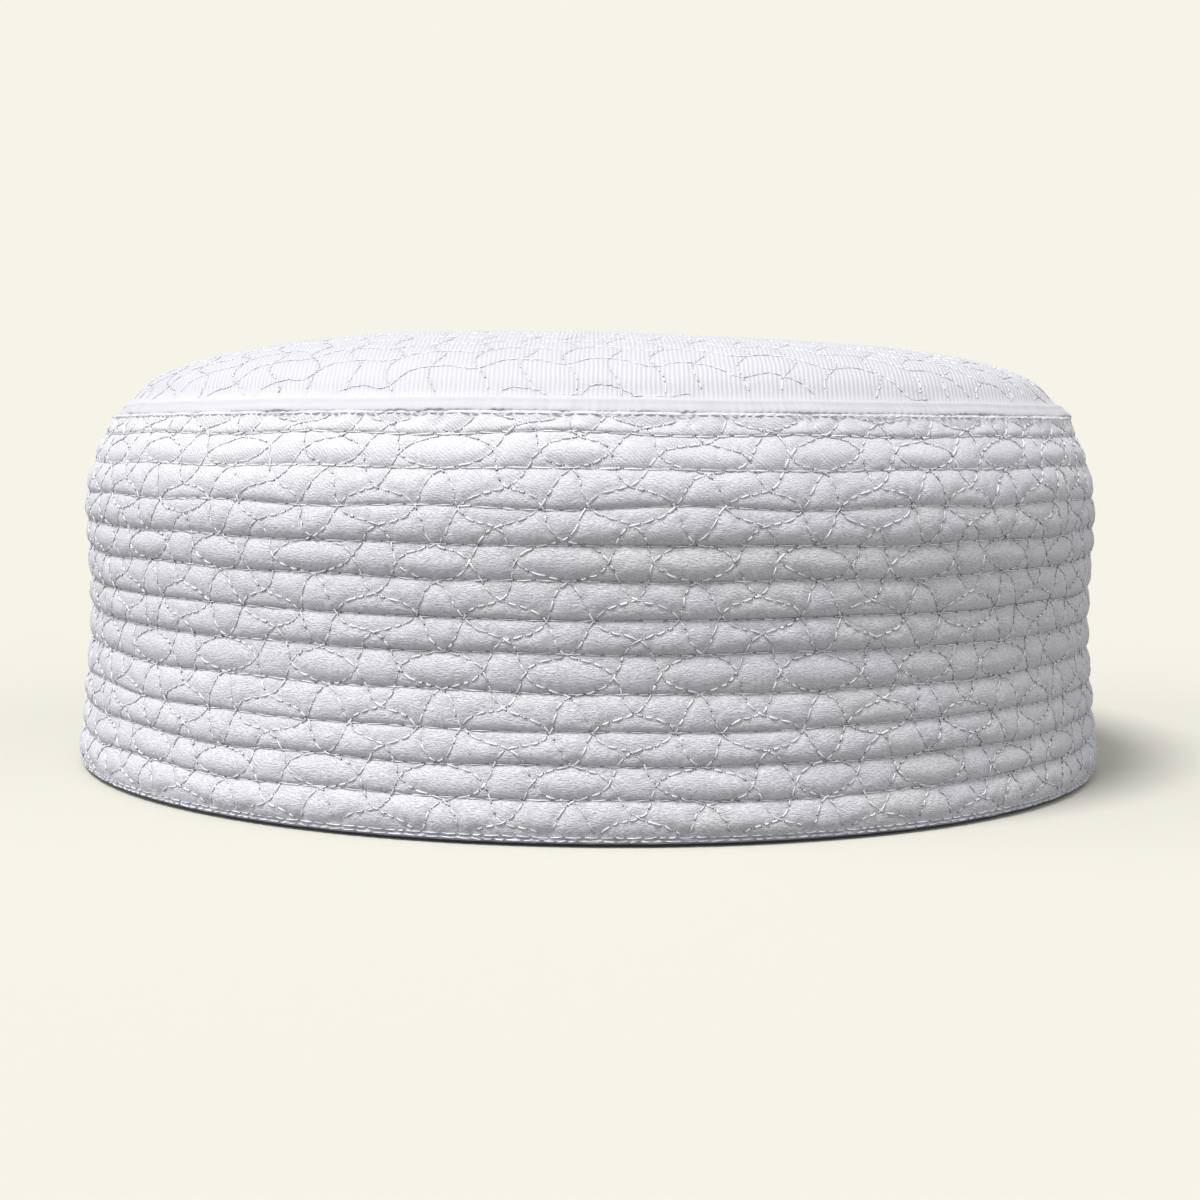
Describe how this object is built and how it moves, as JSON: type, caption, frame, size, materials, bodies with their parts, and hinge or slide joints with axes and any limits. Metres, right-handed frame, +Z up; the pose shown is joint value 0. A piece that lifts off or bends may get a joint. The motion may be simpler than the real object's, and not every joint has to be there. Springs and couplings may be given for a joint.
{
  "type": "kufi",
  "caption": "Round white kufi with a low domed crown on an upright quilted band of horizontal cords, open below for the head.",
  "frame": {"origin": "on the surface that the cap stands on, under the middle of the crown", "axes": "+Z up through the middle of the crown, -Y towards the front, +X to the wearer's left"},
  "size_m": [0.1946, 0.1946, 0.0814],
  "materials": {
    "crown_cloth": "quilted white cotton twill, fine ribs from front to back",
    "welt_cloth": "smooth folded white cotton edge, topstitched",
    "band_cloth": "quilted white cotton sateen over cords, slight sheen",
    "hem_cloth": "bound white cotton edge",
    "thread": "glossy white sewing thread"
  },
  "bodies": {
    "root": {"crown": "crown_cloth", "seam_welt": "welt_cloth", "band": "band_cloth", "hem_binding": "hem_cloth"}
  },
  "joints": []
}
